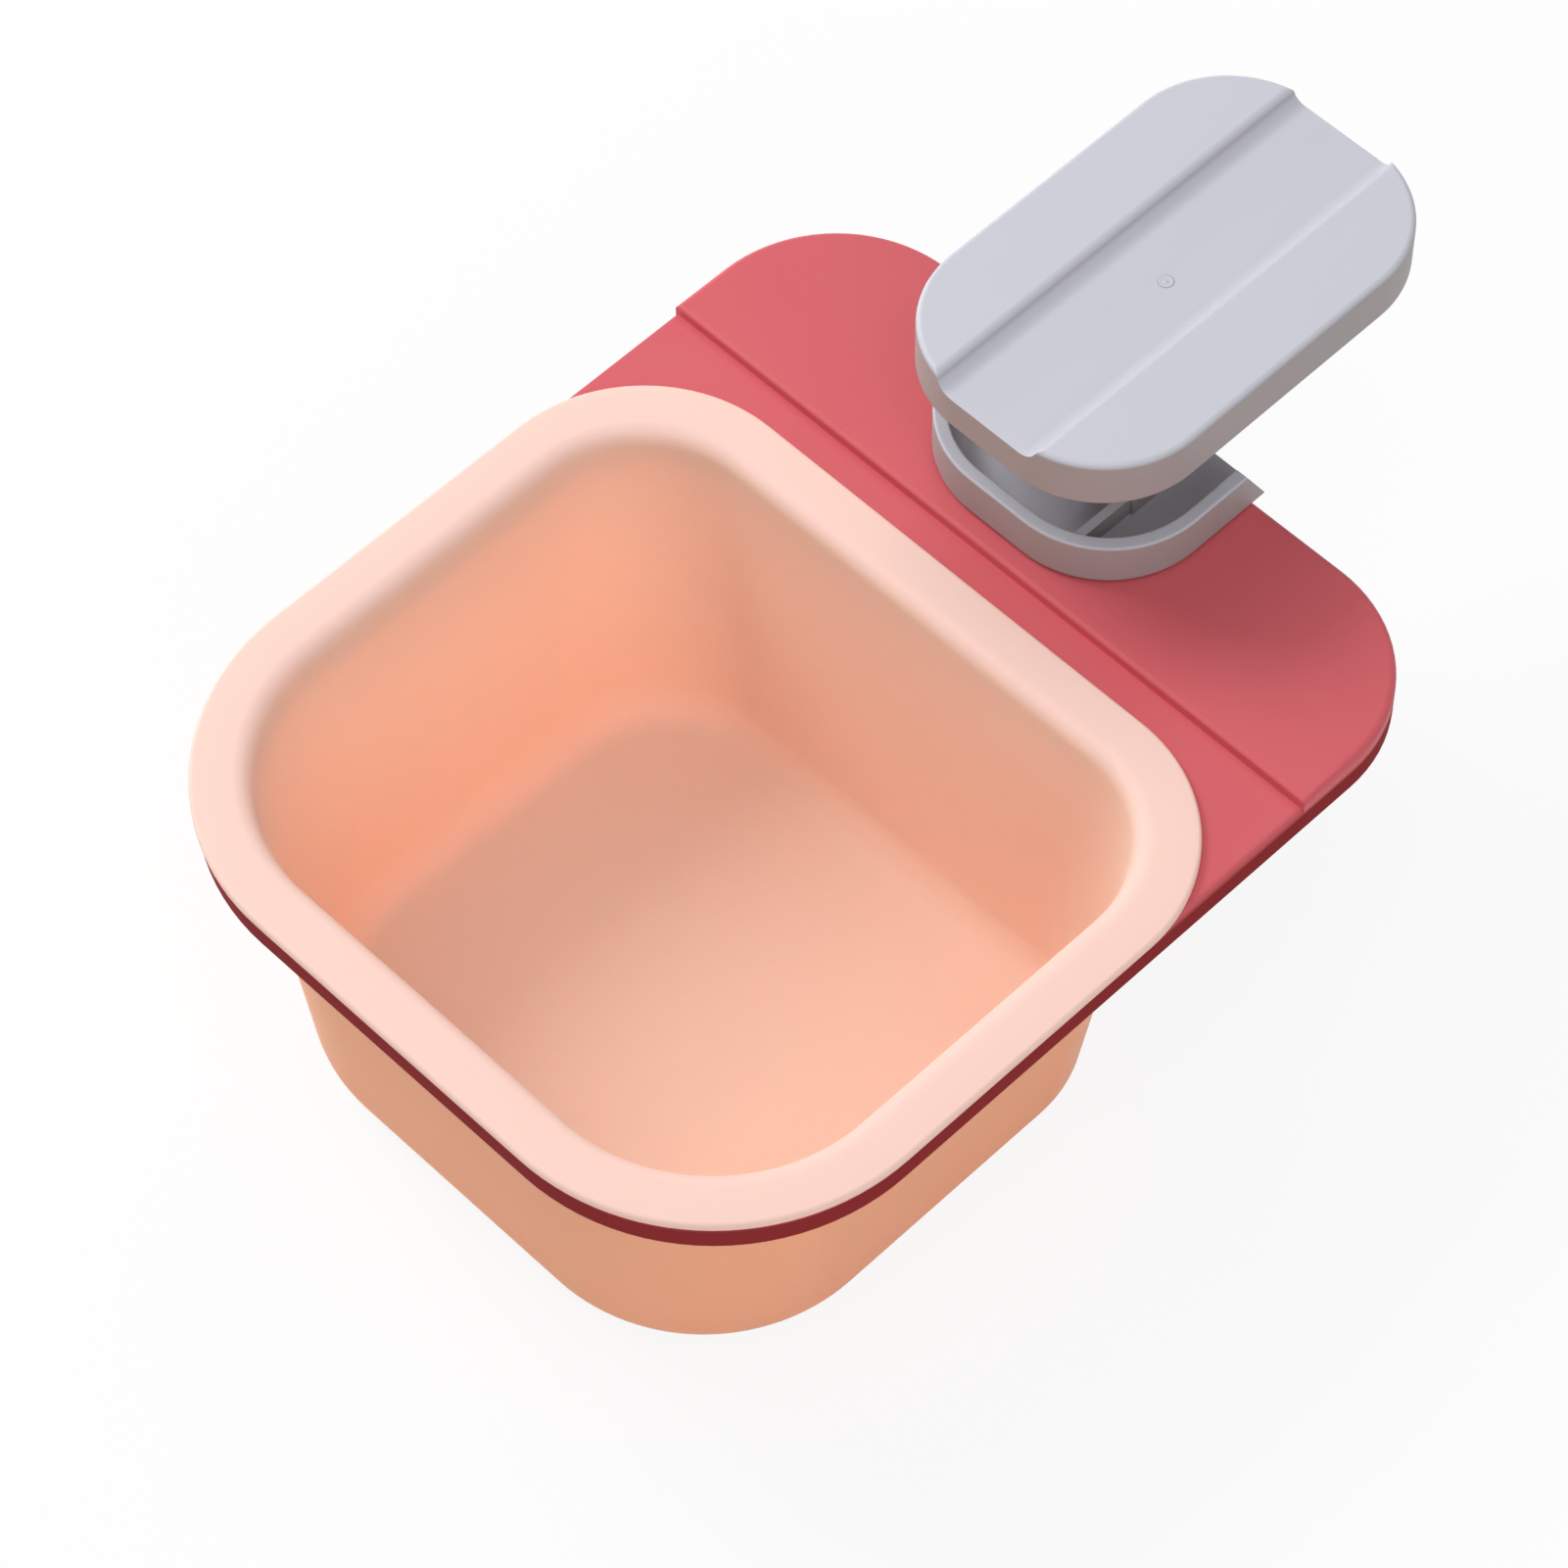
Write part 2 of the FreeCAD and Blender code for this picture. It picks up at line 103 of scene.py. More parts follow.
def moulded_plastic(name, colour, flow_colour, roughness, grain_mm, grain_depth_mm, specular):
    """Moulded plastic: faint cloudy flow in the colour, and the fine grain of a spark-eroded mould."""
    material, tree, output = new_material(name)
    place = add(tree, "ShaderNodeTexCoord").outputs["Object"]
    flow_mm = 28
    gloss_spread = 0.05
    flow = add(tree, "ShaderNodeTexNoise", {"Vector": place, "Scale": 1 / (flow_mm * MM), "Detail": 2.0})
    tint = add(tree, "ShaderNodeMix", {"Factor": flow.outputs["Fac"], "A": linear(colour),
                                       "B": linear(flow_colour)}, data_type="RGBA")
    grain = add(tree, "ShaderNodeTexNoise", {"Vector": place, "Scale": 1 / (grain_mm * MM), "Detail": 3.0})
    gloss = add(tree, "ShaderNodeMapRange", {"Value": grain.outputs["Fac"], "From Min": 0.3, "From Max": 0.7,
                                             "To Min": roughness - gloss_spread,
                                             "To Max": roughness + gloss_spread})
    bump = add(tree, "ShaderNodeBump", {"Height": grain.outputs["Fac"], "Strength": 0.5,
                                        "Distance": grain_depth_mm * MM})
    shader = add(tree, "ShaderNodeBsdfPrincipled", {"Base Color": tint.outputs["Result"],
                                                    "Roughness": gloss.outputs["Result"],
                                                    "Normal": bump.outputs["Normal"],
                                                    "IOR": 1.49, "Specular IOR Level": specular})
    tree.links.new(shader.outputs["BSDF"], output.inputs["Surface"])
    return material, tree, tint, shader


def linked(name, data):
    """A new object of the scene that holds the data."""
    made = bpy.data.objects.new(name, data)
    bpy.context.scene.collection.objects.link(made)
    return made


def finished(name, mesh, material, body, slot, *nodes):
    """A finished piece: its object, its material, the body it rides on and the solids it stands for."""
    mesh.name = name
    mesh.materials.clear()
    mesh.materials.append(material)
    piece = linked(name, mesh)
    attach(piece, body)
    if nodes:
        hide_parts(*nodes)


def mesh_from(form, name):
    """The plain mesh of a bmesh form, which is freed."""
    mesh = bpy.data.meshes.new(name)
    form.to_mesh(mesh)
    form.free()
    return mesh


def evaluated_mesh(piece):
    """The plain mesh of an object with its modifiers applied; the object itself is removed."""
    depsgraph = bpy.context.evaluated_depsgraph_get()
    mesh = bpy.data.meshes.new_from_object(piece.evaluated_get(depsgraph))
    bpy.data.objects.remove(piece)
    return mesh


def crease(form):
    """Smooth faces, with the edges over the crease angle left sharp."""
    for face in form.faces:
        face.smooth = True
    for edge in form.edges:
        edge.smooth = edge.calc_face_angle(0) < crease_angle


def welded_copy(node, roundings=()):
    """A welded copy of a solid's mesh, with its sharp edges rounded at the given levels below its top."""
    form = bmesh.new()
    form.from_mesh(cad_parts[node].data)
    bmesh.ops.remove_doubles(form, verts=form.verts, dist=weld_distance)
    bmesh.ops.dissolve_limit(form, angle_limit=flat_angle, verts=form.verts, edges=form.edges)
    for level, rounding in roundings:
        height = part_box(node)[1].z - level * MM
        at_level = [e for e in form.edges if all(abs(v.co.z - height) < level_margin for v in e.verts)]
        sharp = [e for e in at_level if e.calc_face_angle(0) > edge_angle]
        bmesh.ops.bevel(form, geom=sharp, offset=rounding * MM, offset_type="OFFSET",
                        segments=rounding_segments, profile=0.5, affect="EDGES", clamp_overlap=False)
    crease(form)
    piece = linked(node + "_weld", mesh_from(form, node))
    weigh = piece.modifiers.new("face sizes", "WEIGHTED_NORMAL")
    weigh.keep_sharp = True
    weigh.weight = 100
    return evaluated_mesh(piece)


# Satin moulded polypropylene: soft wide highlights, and a grain drawn at 0.5 mm so that it just shows.
# The top has a sheen and the sides and the underside are duller; the sides and the underside are also painted
# a darker coral, a painted shade that makes them look deeper.
coral_plastic, tree, top_colour, shader = moulded_plastic(
    "moulded polypropylene, coral satin", frame_coral, frame_coral_flow,
    roughness=0.5, grain_mm=0.5, grain_depth_mm=0.012, specular=0.2)
frame_top_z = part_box("holder_frame")[1].z
dull_and_shaded_below_z = frame_top_z - 3.8 * MM
sheen_and_unshaded_above_z = frame_top_z - 2.4 * MM
faces_down = -0.6
faces_sideways = -0.2
place = add(tree, "ShaderNodeTexCoord")
height = add(tree, "ShaderNodeSeparateXYZ", {"Vector": place.outputs["Object"]})
facing = add(tree, "ShaderNodeSeparateXYZ", {"Vector": place.outputs["Normal"]})
raised = add(tree, "ShaderNodeMapRange", {"Value": height.outputs["Z"], "From Min": dull_and_shaded_below_z,
                                          "From Max": sheen_and_unshaded_above_z}, interpolation_type="SMOOTHSTEP")
not_under = add(tree, "ShaderNodeMapRange", {"Value": facing.outputs["Z"], "From Min": faces_down,
                                             "From Max": faces_sideways})
top_share = add(tree, "ShaderNodeMath", {0: raised.outputs["Result"], 1: not_under.outputs["Result"]},
                operation="MULTIPLY")
# Low faces and faces turned down take the darker coral as painted shade; the tops keep the coral.
painted_shade_mix = add(tree, "ShaderNodeMix", {"Factor": top_share.outputs["Value"],
                                           "A": linear(frame_coral_painted_shade),
                                           "B": top_colour.outputs["Result"]}, data_type="RGBA")
tree.links.new(painted_shade_mix.outputs["Result"], shader.inputs["Base Color"])
top_roughness = shader.inputs["Roughness"].links[0].from_socket
sheen = add(tree, "ShaderNodeMix", {"Factor": top_share.outputs["Value"], "A": dull_roughness,
                                    "B": top_roughness}, data_type="FLOAT")
tree.links.new(sheen.outputs["Result"], shader.inputs["Roughness"])
finished("frame_moulding", welded_copy("holder_frame", frame_roundings), coral_plastic, "frame",
         "frame_plastic", "holder_frame")

# Lower jaw: a light grey ABS shell screwed to the deck. Its two long ribs run on behind the deck as the
# tongue under the desk board, and its outer ears hold the hinge pin.
clip_grey = "c8c9d3"
clip_grey_warm = "c6c7cf"
# A darker grey for the sides: painted shade.
clip_grey_painted_shade = "a8a1a1"
# Levels below the ears' top and their roundings, in mm: the shell's rim, its chamfer, and its foot.
shell_roundings = [(13.5, 0.2), (13.8, 0.2), (22.7, 1.4)]
# Satin moulded ABS: an even, cool grey with a grain drawn at 0.4 mm so that it just shows. The tops look
# paler than the sides, which are painted a darker grey as painted shade.
grey_plastic, tree, top_colour, shader = moulded_plastic(
    "moulded ABS, light grey satin", clip_grey, clip_grey_warm,
    roughness=0.5, grain_mm=0.4, grain_depth_mm=0.008, specular=0.3)
side_up_to = 0.1
top_from = 0.7
facing = add(tree, "ShaderNodeSeparateXYZ", {"Vector": add(tree, "ShaderNodeTexCoord").outputs["Normal"]})
top_share = add(tree, "ShaderNodeMapRange", {"Value": facing.outputs["Z"], "From Min": side_up_to,
                                             "From Max": top_from}, interpolation_type="SMOOTHSTEP")
# Faces that turn away from up take the darker grey as painted shade.
painted_shade_mix = add(tree, "ShaderNodeMix", {"Factor": top_share.outputs["Result"], "A": linear(clip_grey_painted_shade),
                                           "B": top_colour.outputs["Result"]}, data_type="RGBA")
tree.links.new(painted_shade_mix.outputs["Result"], shader.inputs["Base Color"])
finished("lower_jaw_moulding", welded_copy("clip_lower_jaw", shell_roundings), grey_plastic, "frame",
         "clip_plastic", "clip_lower_jaw")

# Clip screws: three zinc-plated self-tapping screws, driven up through the deck's plate into the jaw's
# bosses. One screw is turned and punched with a cross, and a node tree sets it at each place.
screw_steel_colour = "b9bbbf"
screw_low, screw_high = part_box("clip_screws")
screw_r = 1.5 * MM
screw_head_r = 2.8 * MM
screw_head_height = 1.9 * MM
head_round = 1.0 * MM
screw_sides = 32
cross_length = 3.2 * MM
cross_width = 0.75 * MM
cross_depth = 1.1 * MM
arc_steps = 6
seat_z = screw_low.z + screw_head_height
shank_top = screw_high.z - seat_z


def drawn_steel(name, colour, roughness, line_mm, along):
    """Bright steel with fine drawing lines along one axis."""
    material, tree, output = new_material(name)
    place = add(tree, "ShaderNodeTexCoord").outputs["Object"]
    line_length = 40
    gloss_spread = 0.08
    stretch = [1 / (line_mm * MM)] * 3
    stretch[along] /= line_length
    lines = add(tree, "ShaderNodeMapping", {"Vector": place, "Scale": stretch})
    marks = add(tree, "ShaderNodeTexNoise", {"Vector": lines.outputs["Vector"], "Scale": 1.0, "Detail": 2.0})
    gloss = add(tree, "ShaderNodeMapRange", {"Value": marks.outputs["Fac"],
                                             "To Min": roughness - gloss_spread,
                                             "To Max": roughness + gloss_spread})
    bump = add(tree, "ShaderNodeBump", {"Height": marks.outputs["Fac"], "Strength": 0.3,
                                        "Distance": 0.004 * MM})
    shader = add(tree, "ShaderNodeBsdfPrincipled", {"Base Color": linear(colour), "Metallic": 1.0,
                                                    "Roughness": gloss.outputs["Result"],
                                                    "Normal": bump.outputs["Normal"]})
    tree.links.new(shader.outputs["BSDF"], output.inputs["Surface"])
    return material


def turned(profile, steps):
    """A solid of revolution about Z from (radius, z) points, listed from the bottom pole to the top pole."""
    form = bmesh.new()
    rings = []
    for r, z in profile:
        if r == 0:
            rings.append([form.verts.new((0, 0, z))])
            continue
        angles = [2 * math.pi * k / steps for k in range(steps)]
        rings.append([form.verts.new((r * math.cos(a), r * math.sin(a), z)) for a in angles])
    for below, above in zip(rings, rings[1:]):
        for k in range(steps):
            corners = [below[k % len(below)], below[(k + 1) % len(below)],
                       above[(k + 1) % len(above)], above[k % len(above)]]
            form.faces.new(list(dict.fromkeys(corners)))
    return form


def smooth(mesh, sharp_over):
    """Smooth shading, with the edges over an angle left sharp."""
    for polygon in mesh.polygons:
        polygon.use_smooth = True
    mesh.set_sharp_from_angle(angle=sharp_over)


# Zinc-plated steel: a cool bright grey whose fine drawing lines, drawn at 0.12 mm, soften its highlights.
steel = drawn_steel("zinc-plated steel, drawn", screw_steel_colour, roughness=0.32, line_mm=0.12, along=0)
screw_profile = [(0, -screw_head_height)]
for k in range(arc_steps + 1):
    a = math.pi / 2 * k / arc_steps
    screw_profile.append((screw_head_r - head_round * (1 - math.sin(a)),
                          -screw_head_height + head_round * (1 - math.cos(a))))
screw_profile += [(screw_head_r, 0), (screw_r, 0), (screw_r, shank_top), (0, shank_top)]
screw_blank = linked("screw_blank", mesh_from(turned(screw_profile, screw_sides), "screw"))
cross_form = bmesh.new()
for turn in (0, math.pi / 2):
    at_head = Matrix.Translation((0, 0, -screw_head_height)) @ Matrix.Rotation(turn, 4, "Z")
    bmesh.ops.create_cube(cross_form, size=1.0,
                          matrix=at_head @ Matrix.Diagonal((cross_length, cross_width, 2 * cross_depth, 1)))
cross_punch = linked("cross_punch", mesh_from(cross_form, "cross_punch"))
punched = screw_blank.modifiers.new("cross", "BOOLEAN")
punched.operation = "DIFFERENCE"
punched.solver = "EXACT"
punched.use_self = True
punched.object = cross_punch
one_screw = linked("one_screw", evaluated_mesh(screw_blank))
bpy.data.objects.remove(cross_punch)
smooth(one_screw.data, crease_angle)

set_screws = bpy.data.node_groups.new("screws at their places", "GeometryNodeTree")
set_screws.interface.new_socket("Places", in_out="INPUT", socket_type="NodeSocketGeometry")
screw_socket = set_screws.interface.new_socket("Screw", in_out="INPUT", socket_type="NodeSocketObject")
finish_socket = set_screws.interface.new_socket("Finish", in_out="INPUT", socket_type="NodeSocketMaterial")
set_screws.interface.new_socket("Screws", in_out="OUTPUT", socket_type="NodeSocketGeometry")
given = add(set_screws, "NodeGroupInput")
source = add(set_screws, "GeometryNodeObjectInfo", {"Object": given.outputs["Screw"]})
placed = add(set_screws, "GeometryNodeInstanceOnPoints", {"Points": given.outputs["Places"],
                                                          "Instance": source.outputs["Geometry"]})
realized = add(set_screws, "GeometryNodeRealizeInstances", {"Geometry": placed.outputs["Instances"]})
coated = add(set_screws, "GeometryNodeSetMaterial", {"Geometry": realized.outputs["Geometry"],
                                                     "Material": given.outputs["Finish"]})
add(set_screws, "NodeGroupOutput", {"Screws": coated.outputs["Geometry"]})

rear_spread = (screw_high.x - screw_low.x) / 2 - screw_head_r
front_y = screw_low.y + screw_head_r
rear_y = screw_high.y - screw_head_r
place_mesh = bpy.data.meshes.new("screw_places")
place_mesh.from_pydata([(0, front_y, seat_z), (-rear_spread, rear_y, seat_z), (rear_spread, rear_y, seat_z)],
                       [], [])
screw_places = linked("screw_places", place_mesh)
setter = screw_places.modifiers.new("screws", "NODES")
setter.node_group = set_screws
setter[screw_socket.identifier] = one_screw
setter[finish_socket.identifier] = steel
screws_mesh = evaluated_mesh(screw_places)
bpy.data.objects.remove(one_screw)
finished("deck_screws", screws_mesh, steel, "frame", "bright_steel", "clip_screws")

# Hinge pin: a headed pin of zinc-plated steel, turned from rod with a chamfered tip. It is pressed into the
# lower jaw's ears, and the upper jaw's ears turn on it.
pin_low, pin_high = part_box("hinge_pin")
pin_r = 2.0 * MM
pin_head_r = 3.3 * MM
pin_head_height = 1.3 * MM
pin_chamfer = 0.25 * MM
pin_sides = 48
pin_length = pin_high.x - pin_low.x
pin_head_start = pin_length - pin_head_height
pin_profile = [(0, 0), (pin_r - pin_chamfer, 0), (pin_r, pin_chamfer), (pin_r, pin_head_start),
               (pin_head_r, pin_head_start)]
for k in range(arc_steps + 1):
    a = math.pi / 2 * k / arc_steps
    pin_profile.append((pin_head_r - pin_head_height / 2 * (1 - math.cos(a)),
                        pin_length - pin_head_height / 2 * (1 - math.sin(a))))
pin_profile.append((0, pin_length))
pin_form = turned(pin_profile, pin_sides)
hinge = Vector((0, (pin_low.y + pin_high.y) / 2, (pin_low.z + pin_high.z) / 2))
pin_form.transform(Matrix.Translation((pin_low.x, hinge.y, hinge.z)) @ Matrix.Rotation(math.pi / 2, 4, "Y"))
pin_mesh = mesh_from(pin_form, "pin")
smooth(pin_mesh, crease_angle)
finished("pivot_pin", pin_mesh, steel, "frame", "bright_steel", "hinge_pin")

# Torsion spring: one length of steel wire wound round the pin. Its lower leg lies on the lower jaw's floor
# and its upper leg under the upper jaw, so it twists between the two as the clip opens.
wire_r = 0.8 * MM
coil_r = 3.2 * MM
coil_turns = 4
coil_pitch = 2.1 * MM
leg_reach = 12.4 * MM
lower_drop = 14.1 * MM
upper_rise = 11.2 * MM
wire_sides = 24
steps_per_turn = 48
cut_end_angle = math.radians(60)


def leg_lean(height):
    """Slope of a leg that leaves the coil's rear side and ends this far from the pin's level."""
    return math.atan2(height, leg_reach) - math.asin(coil_r / math.hypot(height, leg_reach))


first_angle = leg_lean(lower_drop) - math.pi / 2
last_angle = math.pi / 2 - leg_lean(upper_rise) + 2 * math.pi * coil_turns
rise_per_radian = coil_pitch / (2 * math.pi)
half_width = rise_per_radian * (last_angle - first_angle) / 2


def on_coil(a):
    """A point of the wire's centre line on the coil."""
    return hinge + Vector((rise_per_radian * (a - first_angle) - half_width, coil_r * math.cos(a),
                           coil_r * math.sin(a)))


def leg_tip(a, height, sense):
    """The end of the leg that leaves the coil at an angle."""
    along = Vector((rise_per_radian, -coil_r * math.sin(a), coil_r * math.cos(a))).normalized()
    return on_coil(a) + along * sense * math.sqrt(height ** 2 + leg_reach ** 2 - coil_r ** 2)


coil_steps = round((last_angle - first_angle) / (2 * math.pi) * steps_per_turn)
wire_path = [leg_tip(first_angle, lower_drop, -1)]
for k in range(coil_steps + 1):
    wire_path.append(on_coil(first_angle + (last_angle - first_angle) * k / coil_steps))
wire_path.append(leg_tip(last_angle, upper_rise, 1))

wind_wire = bpy.data.node_groups.new("wire along its path", "GeometryNodeTree")
wind_wire.interface.new_socket("Path", in_out="INPUT", socket_type="NodeSocketGeometry")
radius_socket = wind_wire.interface.new_socket("Wire Radius", in_out="INPUT", socket_type="NodeSocketFloat")
sides_socket = wind_wire.interface.new_socket("Sides", in_out="INPUT", socket_type="NodeSocketInt")
coat_socket = wind_wire.interface.new_socket("Finish", in_out="INPUT", socket_type="NodeSocketMaterial")
wind_wire.interface.new_socket("Wire", in_out="OUTPUT", socket_type="NodeSocketGeometry")
given = add(wind_wire, "NodeGroupInput")
path_curve = add(wind_wire, "GeometryNodeMeshToCurve", {"Mesh": given.outputs["Path"]})
section = add(wind_wire, "GeometryNodeCurvePrimitiveCircle", {"Resolution": given.outputs["Sides"],
                                                              "Radius": given.outputs["Wire Radius"]})
swept = add(wind_wire, "GeometryNodeCurveToMesh", {"Curve": path_curve.outputs["Curve"],
                                                   "Profile Curve": section.outputs["Curve"],
                                                   "Fill Caps": True})
whole = add(wind_wire, "GeometryNodeRealizeInstances", {"Geometry": swept.outputs["Mesh"]})
coated = add(wind_wire, "GeometryNodeSetMaterial", {"Geometry": whole.outputs["Geometry"],
                                                    "Material": given.outputs["Finish"]})
add(wind_wire, "NodeGroupOutput", {"Wire": coated.outputs["Geometry"]})

path_mesh = bpy.data.meshes.new("wire_path")
path_mesh.from_pydata(wire_path, [(k, k + 1) for k in range(len(wire_path) - 1)], [])
wire_object = linked("wire_path", path_mesh)
winder = wire_object.modifiers.new("wire", "NODES")
winder.node_group = wind_wire
winder[radius_socket.identifier] = wire_r
winder[sides_socket.identifier] = wire_sides
winder[coat_socket.identifier] = steel
wire_mesh = evaluated_mesh(wire_object)
wire_mesh.name = "torsion_spring"
smooth(wire_mesh, cut_end_angle)
torsion_spring = linked("torsion_spring", wire_mesh)
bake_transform(torsion_spring)
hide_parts("clip_spring")

# Upper jaw: the same grey ABS, a shell with a wide groove along its top. The small round mark in the groove
# is where the plastic entered the mould.
groove_depth = 2.9 * MM
gate_right = 0.5 * MM
gate_forward = 0.7 * MM
gate_sides = 40
# Levels below the top and their roundings, in mm: the top edge, its chamfer, and the shell's lower rim.
jaw_roundings = [(0, 0.4), (0.6, 0.4), (9.2, 0.25)]
finished("upper_jaw_moulding", welded_copy("clip_upper_jaw", jaw_roundings), grey_plastic, "upper_jaw",
         "clip_plastic", "clip_upper_jaw")
jaw_low, jaw_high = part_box("clip_upper_jaw")
gate_place = Vector((gate_right, (jaw_low.y + jaw_high.y) / 2 - gate_forward, jaw_high.z - groove_depth))
# Radius and height of the mark in mm, from the sunken underside to the nib in the middle.
gate_profile = [(0, -0.05), (1.45, -0.05), (1.1, 0.14), (0.95, 0.14), (0.7, 0.02), (0.45, 0.02), (0.25, 0.28),
                (0, 0.32)]
gate_form = turned([(r * MM, z * MM) for r, z in gate_profile], gate_sides)
gate_form.transform(Matrix.Translation(gate_place))
for face in gate_form.faces:
    face.smooth = True
finished("gate_mark", mesh_from(gate_form, "gate_mark"), grey_plastic, "upper_jaw", "clip_plastic")

# Grip pads: mid-grey rubber, moulded with treads across the grip. One is pressed into the pocket of each jaw
# and keeps the desk board from slipping.
rubber_grey = "8b8d92"
rubber_grey_dark = "85878c"
# Matte moulded rubber: an even dull grey with no clear highlight, and a grain drawn at 0.35 mm.
grip_rubber = moulded_plastic("moulded rubber, mid grey matte", rubber_grey, rubber_grey_dark,
                              roughness=0.75, grain_mm=0.35, grain_depth_mm=0.02, specular=0.35)[0]
finished("lower_grip_pad", welded_copy("lower_jaw_pad"), grip_rubber, "frame", "grip_rubber", "lower_jaw_pad")
finished("upper_grip_pad", welded_copy("upper_jaw_pad"), grip_rubber, "upper_jaw", "grip_rubber",
         "upper_jaw_pad")

# Tub: one thin polypropylene moulding with drafted walls. It drops in from above, and its flat rim rests on
# the frame's ring. Rings of one rounded outline run round its section: foot, outer wall, rim, lip, inner
# wall and floor.
tub_peach = "fab591"
tub_peach_flow = "f8b18b"
# The inside is painted paler, painted light on the inner walls; the rim is paler still, a painted highlight.
tub_peach_inside_painted_light = "fbcfbc"
tub_rim_painted_highlight = "fcd3c7"
rim_low, rim_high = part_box("waste_bin")
rim_front_r = 40.7 * MM
rim_back_r = 28.8 * MM
rim_thickness = 1.6 * MM
rim_edge_r = 0.7 * MM
under_edge_r = 0.3 * MM
under_edge_mid = 0.3 * under_edge_r
lip_r = 3.0 * MM
tub_wall = 1.6 * MM
tub_floor = 2.2 * MM
body_inset = 8.0 * MM
body_front_r = 32.7 * MM
body_back_r = 22.5 * MM
foot_side_inset = 15.4 * MM
foot_front_inset = 11.2 * MM
foot_back_inset = 12.7 * MM
foot_fillet = 7.5 * MM
inner_fillet = foot_fillet - tub_wall
corner_steps = 28
round_steps = 10
wall_steps = 14
strip_z = rim_high.z - rim_thickness
foot_z = rim_low.z
floor_z = foot_z + tub_floor


def between(a, b, share):
    """The value at a share of the way from a to b."""
    return a + (b - a) * share


def rounded_ring(half, front, back, front_r, back_r, z):
    """Points of one rounded outline, counter-clockwise from the right."""
    corners = [(half - back_r, back - back_r, back_r, 0), (back_r - half, back - back_r, back_r, 90),
               (front_r - half, front + front_r, front_r, 180),
               (half - front_r, front + front_r, front_r, 270)]
    points = []
    for x, y, r, start in corners:
        for k in range(corner_steps + 1):
            a = math.radians(start + 90 * k / corner_steps)
            points.append((x + r * math.cos(a), y + r * math.sin(a), z))
    return points


def tub_ring(share, inset, z):
    """A ring of the drafted walls: share runs from the outline at the rim to the one at the foot."""
    return rounded_ring(rim_high.x - between(body_inset, foot_side_inset, share) - inset,
                        rim_low.y + between(body_inset, foot_front_inset, share) + inset,
                        rim_high.y - between(body_inset, foot_back_inset, share) - inset,
                        body_front_r - inset, body_back_r - inset, z)


def rim_ring(inset, z):
    """A ring of the rim's outer edge."""
    return rounded_ring(rim_high.x - inset, rim_low.y + inset, rim_high.y - inset,
                        rim_front_r - inset, rim_back_r - inset, z)


def outer_share(z):
    """How far down the outer wall a height lies."""
    return (strip_z - z) / (strip_z - foot_z)


def inner_share(z):
    """How far down the inner wall a height lies."""
    return (rim_high.z - z) / (rim_high.z - floor_z)


quarter_turn = [math.pi / 2 * k / round_steps for k in range(round_steps + 1)]
rings = []
for a in quarter_turn:
    z = foot_z + foot_fillet * (1 - math.cos(a))
    rings.append(tub_ring(outer_share(z), foot_fillet * (1 - math.sin(a)), z))
for k in range(1, wall_steps + 1):
    z = between(foot_z + foot_fillet, strip_z, k / wall_steps)
    rings.append(tub_ring(outer_share(z), 0, z))
rings.append(rim_ring(under_edge_r, strip_z))
rings.append(rim_ring(under_edge_mid, strip_z + under_edge_mid))
rings.append(rim_ring(0, strip_z + under_edge_r))
for a in quarter_turn:
    rings.append(rim_ring(rim_edge_r * (1 - math.cos(a)), rim_high.z - rim_edge_r * (1 - math.sin(a))))
first_inside_ring = len(rings)
for a in quarter_turn:
    z = rim_high.z - lip_r * (1 - math.cos(a))
    rings.append(tub_ring(inner_share(z), tub_wall - lip_r * (1 - math.sin(a)), z))
for k in range(1, wall_steps):
    z = between(rim_high.z - lip_r, floor_z + inner_fillet, k / wall_steps)
    rings.append(tub_ring(inner_share(z), tub_wall, z))
for a in quarter_turn:
    z = floor_z + inner_fillet * (1 - math.sin(a))
    rings.append(tub_ring(inner_share(z), tub_wall + inner_fillet * (1 - math.cos(a)), z))

tub_form = bmesh.new()
loops = [[tub_form.verts.new(p) for p in ring] for ring in rings]
for below, above in zip(loops, loops[1:]):
    for k in range(len(below)):
        after = (k + 1) % len(below)
        tub_form.faces.new((below[k], below[after], above[after], above[k]))
tub_form.faces.new(list(reversed(loops[0])))
tub_form.faces.new(loops[-1])
crease(tub_form)
tub_mesh = mesh_from(tub_form, "tub")
inside_marks = tub_mesh.attributes.new("inside", "FLOAT", "POINT")
for ring_index, ring in enumerate(rings):
    for k in range(len(ring)):
        inside_marks.data[ring_index * len(ring) + k].value = float(ring_index >= first_inside_ring)

# Matte moulded polypropylene, thin enough for some light to pass through the wall. The inside is painted
# paler than the outside as painted light, and the rim paler still as a painted highlight; the colour turns
# over the lip.
peach_plastic, tree, outside_colour, shader = moulded_plastic(
    "moulded polypropylene, peach matte", tub_peach, tub_peach_flow,
    roughness=0.6, grain_mm=0.5, grain_depth_mm=0.012, specular=0.25)
wall_below_z = rim_high.z - 2.6 * MM
rim_above_z = rim_high.z - 0.3 * MM
wall_passes = 0.75
rim_passes = 0.1
inside_share = add(tree, "ShaderNodeAttribute", attribute_name="inside").outputs["Fac"]
wall_colour = add(tree, "ShaderNodeMix", {"Factor": inside_share, "A": outside_colour.outputs["Result"],
                                          "B": linear(tub_peach_inside_painted_light)}, data_type="RGBA")
height = add(tree, "ShaderNodeSeparateXYZ", {"Vector": add(tree, "ShaderNodeTexCoord").outputs["Object"]})
rim_share = add(tree, "ShaderNodeMapRange", {"Value": height.outputs["Z"], "From Min": wall_below_z,
                                             "From Max": rim_above_z}, interpolation_type="SMOOTHSTEP")
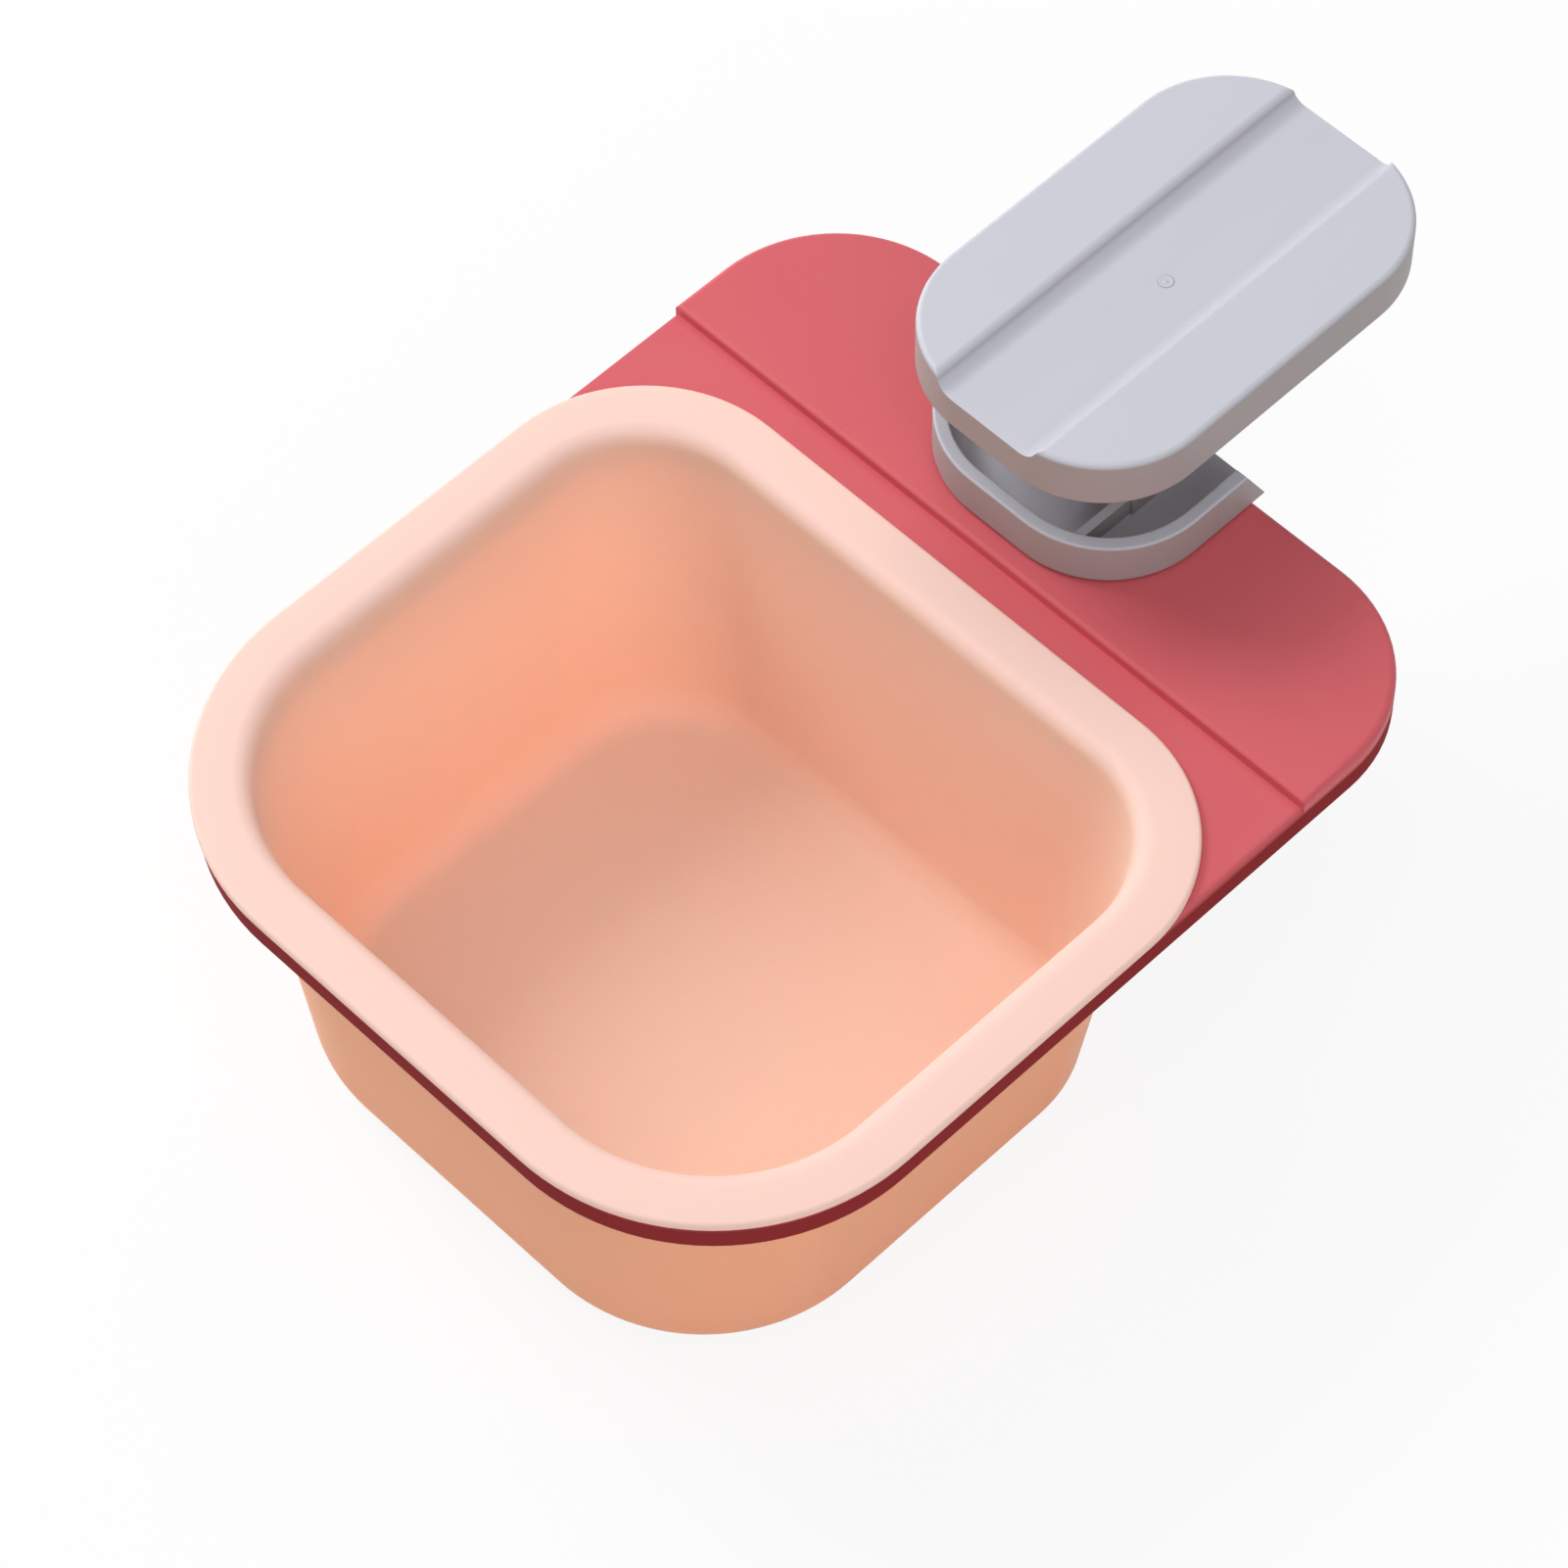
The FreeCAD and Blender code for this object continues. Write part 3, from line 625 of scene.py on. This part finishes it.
# The rim's paler colour is a painted highlight, blended in over the lip.
painted_light_tones = add(tree, "ShaderNodeMix", {"Factor": rim_share.outputs["Result"],
                                       "A": wall_colour.outputs["Result"],
                                       "B": linear(tub_rim_painted_highlight)}, data_type="RGBA")
tree.links.new(painted_light_tones.outputs["Result"], shader.inputs["Base Color"])
passed_light = add(tree, "ShaderNodeMapRange", {"Value": rim_share.outputs["Result"], "To Min": wall_passes,
                                                "To Max": rim_passes})
tree.links.new(passed_light.outputs["Result"], shader.inputs["Subsurface Weight"])
shader.inputs["Subsurface Radius"].default_value = (1.0, 0.75, 0.6)
shader.inputs["Subsurface Scale"].default_value = 4.0 * MM
finished("tub_moulding", tub_mesh, peach_plastic, "bin", "tub_plastic", "waste_bin")

# Floor: a plain white studio sheet that the tub's foot stands on. The camera sees it almost white, and it
# keeps the soft shadow of the object.
floor_white = "f4f4f4"
pure_white = "ffffff"
floor_half = 6.0
floor_glow = 0.88
floor_mesh = bpy.data.meshes.new("floor")
floor_corners = [(x * floor_half, y * floor_half, foot_z) for x, y in ((-1, -1), (1, -1), (1, 1), (-1, 1))]
floor_mesh.from_pydata(floor_corners, [], [(0, 1, 2, 3)])
floor = linked("floor", floor_mesh)


def seen_directly(tree):
    """One where a ray comes from the camera, or from what it sees in gloss or glass, and zero elsewhere."""
    path = add(tree, "ShaderNodeLightPath")
    seen = add(tree, "ShaderNodeMath", {0: path.outputs["Is Camera Ray"], 1: path.outputs["Is Glossy Ray"]},
               operation="MAXIMUM")
    seen = add(tree, "ShaderNodeMath", {0: seen.outputs["Value"], 1: path.outputs["Is Transmission Ray"]},
               operation="MAXIMUM")
    return seen.outputs["Value"]


# Matte sheet: an even white without gloss.
white_floor, tree, output = new_material("white matte sweep")
matte = add(tree, "ShaderNodeBsdfDiffuse", {"Color": linear(floor_white)})
glow = add(tree, "ShaderNodeEmission", {"Color": linear(pure_white), "Strength": 1.0})
glow_share = add(tree, "ShaderNodeMath", {0: seen_directly(tree), 1: floor_glow}, operation="MULTIPLY")
both = add(tree, "ShaderNodeMixShader", {0: glow_share.outputs["Value"], 1: matte.outputs["BSDF"],
                                         2: glow.outputs["Emission"]})
tree.links.new(both.outputs["Shader"], output.inputs["Surface"])
floor_mesh.materials.append(white_floor)

# Light: an even pale surround and soft square lamps: high and low on the left, high at the back, overhead,
# and on the right. The low left one shines through the tub's thin wall.
surround = 0.29
world = bpy.data.worlds.new("studio")
bpy.context.scene.world = world
world.use_nodes = True
tree = world.node_tree
tree.nodes.clear()
level = add(tree, "ShaderNodeMapRange", {"Value": seen_directly(tree), "To Min": surround, "To Max": 1.0})
sky = add(tree, "ShaderNodeBackground", {"Color": linear(pure_white), "Strength": level.outputs["Result"]})
add(tree, "ShaderNodeOutputWorld", {"Surface": sky.outputs["Background"]})
rim_centre = Vector((0, (rim_low.y + rim_high.y) / 2, rim_high.z))


def soft_lamp(name, place, power, size):
    """A square area lamp that faces the tub's rim; its place is taken from the rim's centre."""
    lamp = bpy.data.lights.new(name, "AREA")
    lamp.energy = power
    lamp.size = size
    holder = linked(name, lamp)
    holder.location = rim_centre + Vector(place)
    holder.rotation_euler = Vector(place).to_track_quat("Z", "Y").to_euler()


soft_lamp("high left lamp", (-0.8, -0.15, 0.85), power=6.1, size=0.45)
soft_lamp("low left lamp", (-1.0, 0.1, 0.06), power=5.5, size=0.5)
soft_lamp("high back lamp", (-0.5, 0.48, 0.98), power=2.2, size=0.7)
soft_lamp("overhead lamp", (0.25, -0.25, 1.15), power=2.7, size=0.6)
soft_lamp("right lamp", (0.95, -0.3, 0.6), power=3.4, size=0.8)

# Camera: a long lens at the photograph's viewing angle, with its small roll. It is placed from the rim's
# centre, and its lens comes from the picture's size in pixels.
lens_px = 5997.09
picture_px = 1601
azimuth = math.radians(45.926)
elevation = math.radians(56.027)
roll = math.radians(-0.899)
distance = 906.65 * MM
aim = rim_centre + Vector((9.874 * MM, 13.490 * MM, 0))
level_back = Vector((math.sin(azimuth), -math.cos(azimuth), 0))
back = level_back * math.cos(elevation) + Vector((0, 0, math.sin(elevation)))
right = Vector((math.cos(azimuth), math.sin(azimuth), 0))
up = back.cross(right)
turned_right = math.cos(roll) * right + math.sin(roll) * up
turned_up = math.cos(roll) * up - math.sin(roll) * right
camera = bpy.data.cameras.new("camera")
camera.sensor_width = 36.0
camera.sensor_fit = "HORIZONTAL"
camera.lens = lens_px / picture_px * camera.sensor_width
camera.clip_start = 0.01
camera.clip_end = 50.0
camera_object = linked("camera", camera)
axes = Matrix((turned_right, turned_up, back)).transposed().to_4x4()
camera_object.matrix_world = Matrix.Translation(aim + back * distance) @ axes
bpy.context.scene.camera = camera_object
bpy.context.scene.view_settings.view_transform = "Standard"
